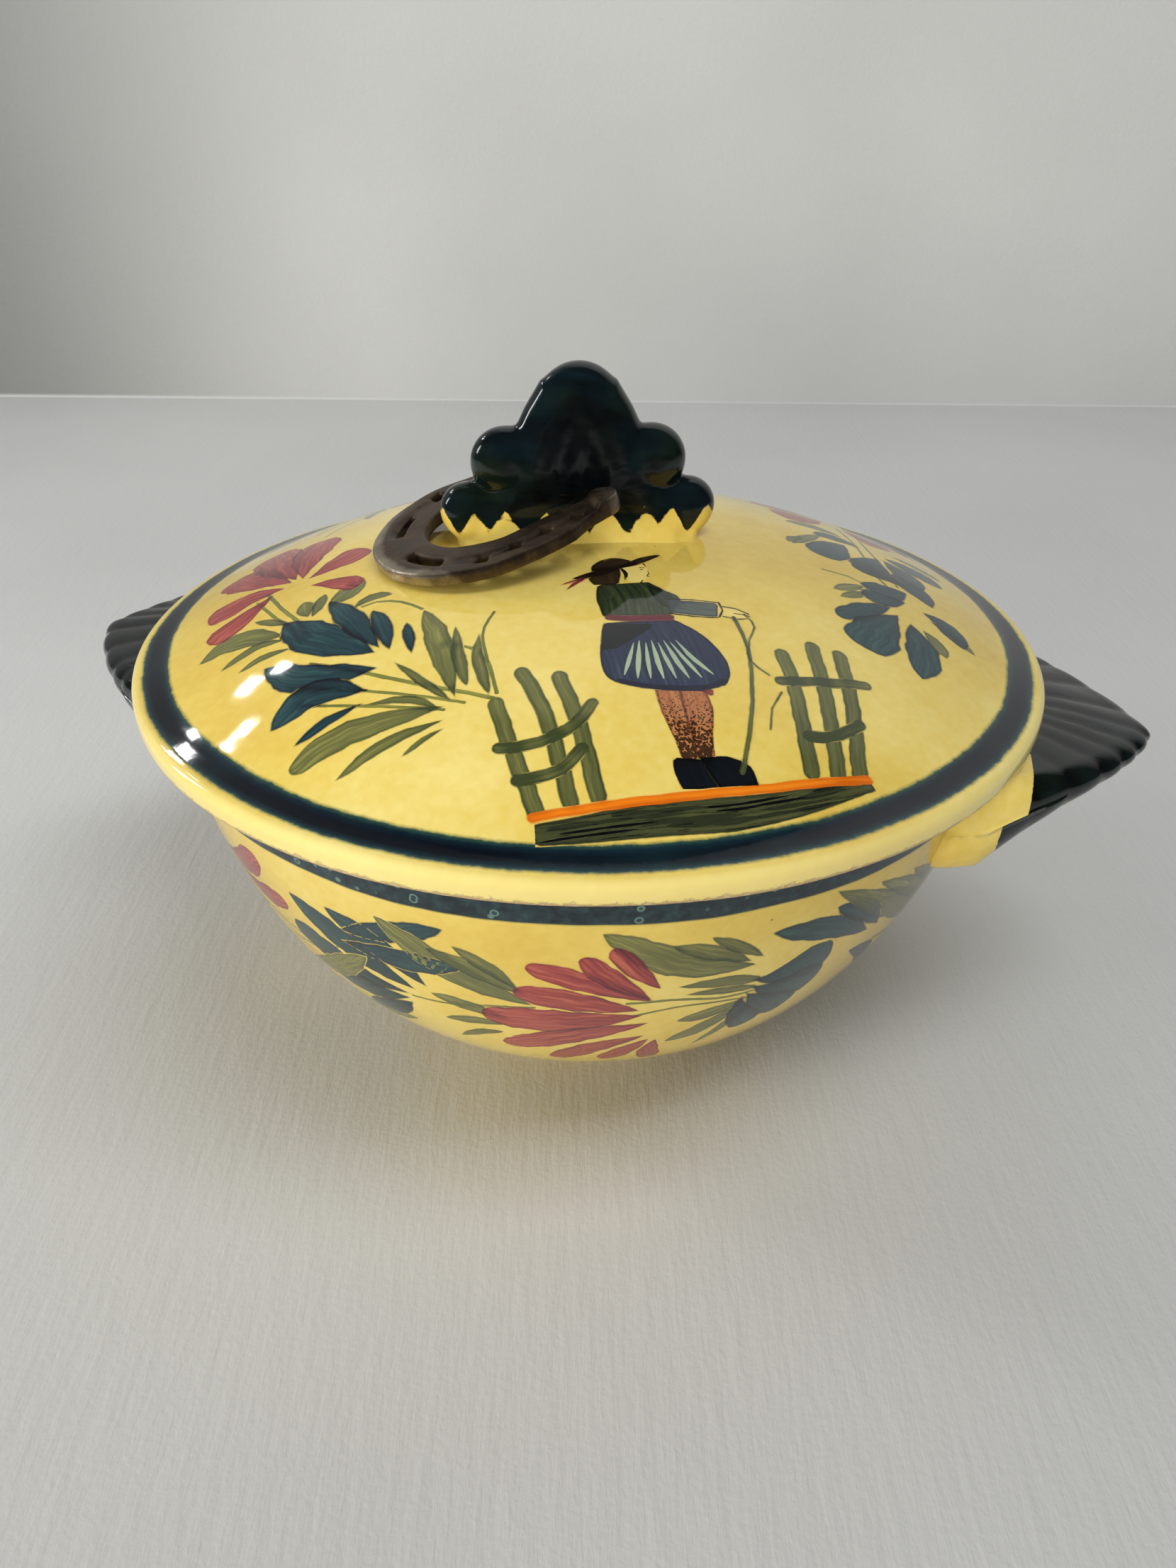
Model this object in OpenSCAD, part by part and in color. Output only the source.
// Lidded earthenware porringer: a round bowl on a foot ring with two leaf-shaped ears,
// a domed lid with an upright scalloped knob, and a small iron horseshoe that lies over the knob.
// Sizes in millimetres. +Z is up, the ears lie along X and the foot stands on z = 0.

/* [Bowl] */
// Height of the bowl from the table to the seat that carries the lid
bowl_h = 72; // [55:1:90]
// Outer radius of the bowl at its rim
rim_r = 77; // [60:0.5:95]
// Wall thickness of the bowl at its rim
wall = 5.5; // [4:0.1:8]
// Thickness of the bowl's floor
floor_t = 6; // [4:0.1:9]
// Bevel that breaks both edges of the bowl's rim
rim_bevel = 0.8; // [0.3:0.1:1.5]

/* [Foot ring] */
// Outer radius of the foot ring
foot_r = 34; // [26:0.5:44]
// Width of the foot ring where it stands on the table
foot_w = 5; // [3:0.5:8]
// Height of the bowl's underside above the table, at the middle
foot_lift = 3.5; // [2:0.5:6]

/* [Ears] */
// Length of an ear, from the bowl's rim to its tip
ear_l = 26; // [15:1:34]
// Half width of an ear where it grows out of the bowl
ear_half_w = 36; // [22:1:42]
// Drop from the bowl's rim to the top of the ear beside the bowl
ear_drop = 1.6; // [1:0.1:4]
// Further drop of the ear's top from the bowl to the tip
ear_slope = 2.6; // [0:0.1:6]
// Thickness of the ear at its tip
ear_tip_t = 4.4; // [3:0.1:8]
// Thickness of the ear halfway along
ear_mid_t = 7.5; // [5:0.1:12]
// Depth of the ear's root on the bowl's wall
ear_root_t = 17; // [10:0.5:26]

/* [Lid] */
// Overhang of the lid beyond the bowl's rim
lid_over = 5.5; // [3:0.5:8]
// Width of the flat brim around the dome
brim_w = 6.5; // [5:0.5:9]
// Rise of the dome above the inner edge of the brim
dome_h = 17.5; // [10:0.5:30]
// Height of the brim's inner edge above the seat
brim_in_h = 5.6; // [4.5:0.1:8]
// Height of the brim's outer edge above the seat
brim_out_h = 4.4; // [3.2:0.1:4.5]
// Thickness of the dome
lid_t = 5.5; // [4:0.1:8]
// Depth of the ring under the lid that drops into the bowl
ring_h = 6; // [4:0.5:12]
// Thickness of that ring
ring_t = 4.4; // [3:0.1:6]
// Gap between that ring and the inside of the bowl
ring_gap = 1.2; // [0.8:0.1:2.5]
// Turn of the lid on the bowl, from the line of the ears
lid_turn = 19; // [0:1:90]

/* [Knob] */
// Height of the knob above the crown of the lid
knob_h = 30; // [22:0.5:40]
// Half width of the knob, to the outside of its lowest lobes
knob_half_w = 25; // [22:0.5:32]
// Thickness of the knob
knob_t = 9; // [7:0.5:11]
// Thickness of the knob's flared base where it meets the lid
knob_base_t = 15; // [12:0.5:17]
// Radius of the tall middle lobe, lower down
mid_lobe_r = 10.5; // [8:0.1:12]
// Radius at its top, where it is narrower
mid_top_r = 7.4; // [5:0.1:9]
// Radius of the shoulder lobes
shoulder_lobe_r = 6.2; // [5:0.1:8]
// Radius of the lowest lobes
end_lobe_r = 5.2; // [4:0.1:6.5]
// How far the knob was set off the lid's axis, along the line of the knob
knob_off = -2; // [-4:0.1:4]

/* [Horseshoe] */
// Length of the horseshoe from toe to heel
shoe_l = 42; // [36:0.5:48]
// Radius of the horseshoe's round toe
shoe_r = 21; // [19:0.5:23]
// Width of the iron at the toe
shoe_web = 9.8; // [7:0.1:10.5]
// Half width over the heels
shoe_heel = 15; // [13:0.5:17]
// Width of the iron at a heel
heel_web = 7; // [5:0.1:7.5]
// Thickness of the iron
shoe_t = 2.4; // [2:0.1:4]
// Side of a square nail hole
nail_hole = 1.6; // [1:0.1:2]
// Turn of the horseshoe from the line of the knob
shoe_turn = 11.6; // [5:0.1:14]
// Tilt of the horseshoe, toe down
shoe_tilt = 15.2; // [13:0.1:17]
// Roll of the horseshoe, front branch down
shoe_roll = 3.3; // [0:0.1:5]

/* [Hidden] */
$fn = 96;
yellow = "#e8cf5a";
dark = "#1b2a2c";
iron = "#5b4d40";

// The bowl's wall follows r = rim * (1 - t^belly_pow)^belly_end, with t going from rim to floor
belly_pow = 1.3;
belly_end = 0.25;
belly_step = 5;
rim_in = rim_r - wall;
bowl_floor = foot_lift + floor_t;

// The dome follows z = dome_h * (1 - (r / dome_r)^dome_pow)
dome_pow = 2.4;
dome_steps = 24;
lid_r = rim_r + lid_over;
dome_r = lid_r - brim_w;
crown = bowl_h + brim_in_h + dome_h;
edge_round = 1.5;
ring_out = rim_in - ring_gap;
ring_taper = 0.6;
ring_in = ring_out - ring_t;

// The ear's outline follows y = ear_half_w * (1 - s^ear_pow)^ear_end, with s going from root to tip
ear_pow = 1.75;
ear_reach = rim_r + ear_l;
ear_end = 0.8;
ear_steps = 18;
ear_root = rim_r - 14;
ear_mid = (rim_r + ear_reach) / 2;
ear_top = bowl_h - ear_drop;

// Lobe centres of the knob, from the middle outwards, as [x, height above the crown]
mid_lobe = [0, knob_h - mid_lobe_r - 2.9];
mid_top = [0, knob_h - mid_top_r];
// The straight sides between the middle lobe's two arcs lean in by this angle
mid_lean = asin((mid_lobe_r - mid_top_r) / (mid_top[1] - mid_lobe[1]));
shoulder_lobe = [knob_half_w - 2.3 * end_lobe_r, knob_h - mid_lobe_r - 6.3];
end_lobe = [knob_half_w - end_lobe_r, knob_h - mid_lobe_r - 14.8];
knob_sink = 5;
flare_top = end_lobe[1] - 1.5;

// The horseshoe's place on the lid, from the lid's axis and the line of the knob
shoe_at = [-18.7, -2.75];
// Its height above the crown keeps the toe, this far from the lid's axis, just clear of the dome
toe_at = 40;
shoe_over_crown = 8.35 - dome_h * pow(toe_at / dome_r, dome_pow);
nail_count = 4;
nail_pitch = 0.28 * (shoe_l - shoe_r);
// A curved slot on each side of the toe, in the middle of the iron, between these two angles
slot_w = 1.7;
slot_from = 18;
slot_to = 46;

function belly(rim, low, a) = [rim * pow(cos(a), 2 * belly_end), bowl_h - (bowl_h - low) * pow(sin(a), 2 / belly_pow)];
function dome(r) = bowl_h + brim_in_h + dome_h * (1 - pow(r / dome_r, dome_pow));
function arc(at, r, from, to, n = 6) =
    [for (i = [0:n]) let (a = from + (to - from) * i / n) at + r * [cos(a), sin(a)]];

// Half section of the bowl's outside, from the axis up to the bevel of its rim
function bowl_outside() = concat(
    [[0, foot_lift]],
    [for (a = [85:-belly_step:belly_step]) belly(rim_r, foot_lift, a)],
    [[rim_r, bowl_h - rim_bevel], [rim_r - rim_bevel, bowl_h]]
);

// Half section of the lid's upper side, from the crown to the lower edge of the rim
function lid_top() = concat(
    [for (i = [0:dome_steps]) let (r = dome_r * i / dome_steps) [r, dome(r)]],
    arc([lid_r - edge_round, bowl_h + brim_out_h - edge_round], edge_round, 80, 0),
    arc([lid_r - edge_round, bowl_h + edge_round], edge_round, 0, -90)
);

// The bowl with no hollow, which cuts whatever is joined to its outside
module bowl_block() {
    rotate_extrude() polygon(concat(bowl_outside(), [[0, bowl_h]]));
}

module bowl() {
    inside = concat(
        [[rim_in + rim_bevel, bowl_h], [rim_in, bowl_h - rim_bevel]],
        [for (a = [belly_step:belly_step:85]) belly(rim_in, bowl_floor, a)],
        [[0, bowl_floor]]
    );
    color(yellow) rotate_extrude() polygon(concat(bowl_outside(), inside));
}

module foot_ring() {
    foot_top = foot_lift + 8;
    section = [
        [foot_r - foot_w, 0.6], [foot_r - foot_w + 0.6, 0], [foot_r - 1, 0], [foot_r, 1],
        [foot_r + 1, foot_top], [foot_r - foot_w - 1, foot_top]
    ];
    color(yellow) difference() {
        rotate_extrude() polygon(section);
        bowl_block();
    }
}

// One ear on the +X side: its outline seen from above, cut to its thickness seen from the front
module ear() {
    reach = ear_reach - ear_root;
    half = [for (i = [0:ear_steps]) let (s = sin(90 * i / ear_steps))
        [ear_root + reach * s, ear_half_w * pow(1 - pow(s, ear_pow), ear_end)]];
    other = [for (i = [ear_steps - 1:-1:0]) [half[i][0], -half[i][1]]];
    side = [
        [ear_root, ear_top], [rim_r, ear_top], [ear_reach, ear_top - ear_slope],
        [ear_reach, ear_top - ear_slope - ear_tip_t], [ear_mid, ear_top - ear_slope / 2 - ear_mid_t],
        [rim_r + 2, ear_top - ear_root_t * 0.68], [rim_r - 3, ear_top - ear_root_t],
        [ear_root, ear_top - ear_root_t]
    ];
    color(dark) difference() {
        intersection() {
            linear_extrude(bowl_h) polygon(concat(half, other));
            rotate([90, 0, 0]) linear_extrude(2 * ear_half_w + 2, center = true) polygon(side);
        }
        bowl_block();
    }
}

module ear_right() {
    ear();
}

module ear_left() {
    mirror([1, 0, 0]) ear();
}

module lid() {
    under = [for (i = [dome_steps:-1:0]) let (r = ring_in * i / dome_steps) [r, dome(r) - lid_t]];
    color(yellow) rotate([0, 0, lid_turn]) rotate_extrude()
        polygon(concat(lid_top(), [[ring_in, bowl_h]], under));
}

module lid_locating_ring() {
    section = [
        [ring_in, bowl_h], [ring_in, bowl_h - ring_h + 0.8], [ring_in + 0.8, bowl_h - ring_h],
        [ring_out - ring_taper - 0.8, bowl_h - ring_h], [ring_out - ring_taper, bowl_h - ring_h + 0.8],
        [ring_out, bowl_h]
    ];
    color(yellow) rotate([0, 0, lid_turn]) rotate_extrude() polygon(section);
}

module knob_outline() {
    translate(mid_lobe) circle(mid_lobe_r);
    translate(mid_top) circle(mid_top_r);
    lean = [cos(mid_lean), sin(mid_lean)];
    flip = [-cos(mid_lean), sin(mid_lean)];
    polygon([
        mid_lobe + mid_lobe_r * lean, mid_top + mid_top_r * lean, mid_top + mid_top_r * flip,
        mid_lobe + mid_lobe_r * flip
    ]);
    for (side = [-1, 1]) {
        translate([side * shoulder_lobe[0], shoulder_lobe[1]]) circle(shoulder_lobe_r);
        translate([side * end_lobe[0], end_lobe[1]]) circle(end_lobe_r);
    }
    polygon([
        [-end_lobe[0], -knob_sink], [end_lobe[0], -knob_sink], [end_lobe[0], end_lobe[1]],
        [shoulder_lobe[0], shoulder_lobe[1]], [mid_lobe_r * 0.9, shoulder_lobe[1] + 3],
        [mid_lobe_r * 0.9, mid_lobe[1]], [-mid_lobe_r * 0.9, mid_lobe[1]],
        [-mid_lobe_r * 0.9, shoulder_lobe[1] + 3], [-shoulder_lobe[0], shoulder_lobe[1]],
        [-end_lobe[0], end_lobe[1]]
    ]);
}

// Flared base of the knob, seen from its end
module knob_flare() {
    rotate([90, 0, 90]) linear_extrude(2 * end_lobe[0] + end_lobe_r, center = true) polygon([
        [-knob_base_t / 2, -knob_sink], [knob_base_t / 2, -knob_sink], [knob_base_t / 2, -1],
        [knob_t / 2, flare_top], [-knob_t / 2, flare_top], [-knob_base_t / 2, -1]
    ]);
}

module knob() {
    color(dark) rotate([0, 0, lid_turn]) difference() {
        translate([knob_off, 0, crown]) union() {
            rotate([90, 0, 0]) linear_extrude(knob_t, center = true) knob_outline();
            knob_flare();
        }
        rotate_extrude() polygon(concat(lid_top(), [[0, bowl_h]]));
    }
}

// Outline of a horseshoe with its toe at the origin and its branches along +X
module shoe_outline(r, l, heel, end_r) {
    translate([r, 0]) circle(r);
    polygon([[r, -r], [r + (l - r) / 2, -(r + heel) / 2 - 0.8], [l - end_r, -heel],
        [l - end_r, heel], [r + (l - r) / 2, (r + heel) / 2 + 0.8], [r, r]]);
    for (side = [-1, 1])
        translate([l - end_r, side * (heel - end_r)]) circle(end_r);
}

// One curved slot beside the toe, on the side that has this sign
module toe_slot(side) {
    middle = shoe_r - shoe_web / 2;
    translate([shoe_r, 0]) intersection() {
        difference() {
            circle(middle + slot_w / 2);
            circle(middle - slot_w / 2);
        }
        polygon([
            [0, 0], 2 * shoe_r * [-cos(slot_from), side * sin(slot_from)],
            2 * shoe_r * [-cos(slot_to), side * sin(slot_to)]
        ]);
    }
}

// The row of square nail holes along one branch
module nail_row(side) {
    branch_turn = atan((shoe_r - shoe_heel) / (shoe_l - shoe_r));
    for (i = [0:nail_count - 1]) {
        along = 0.75 * shoe_r + i * nail_pitch;
        inset = max(0, along - shoe_r) * tan(branch_turn) * 0.75;
        out = shoe_r - shoe_web / 2 + 0.6 - inset;
        translate([along, side * out]) rotate(45 - side * branch_turn) square(nail_hole, center = true);
    }
}

module shoe_iron() {
    gap_r = shoe_r - shoe_web;
    gap_heel = shoe_heel - heel_web;
    difference() {
        linear_extrude(shoe_t) shoe_outline(shoe_r, shoe_l, shoe_heel, heel_web / 2);
        translate([0, 0, -1]) linear_extrude(shoe_t + 2) {
            translate([shoe_r, 0]) circle(gap_r);
            polygon([
                [shoe_r, -gap_r], [shoe_l + 1, -gap_heel], [shoe_l + 1, gap_heel], [shoe_r, gap_r]
            ]);
            for (side = [-1, 1]) {
                toe_slot(side);
                nail_row(side);
            }
        }
    }
}

module horseshoe() {
    color(iron) rotate([0, 0, lid_turn])
        translate([shoe_at[0], shoe_at[1], crown + shoe_over_crown])
            rotate([shoe_roll, -shoe_tilt, 0]) rotate([0, 0, shoe_turn])
                translate([-shoe_r, 0, -shoe_t]) shoe_iron();
}

bowl();
foot_ring();
ear_left();
ear_right();
lid();
lid_locating_ring();
knob();
horseshoe();
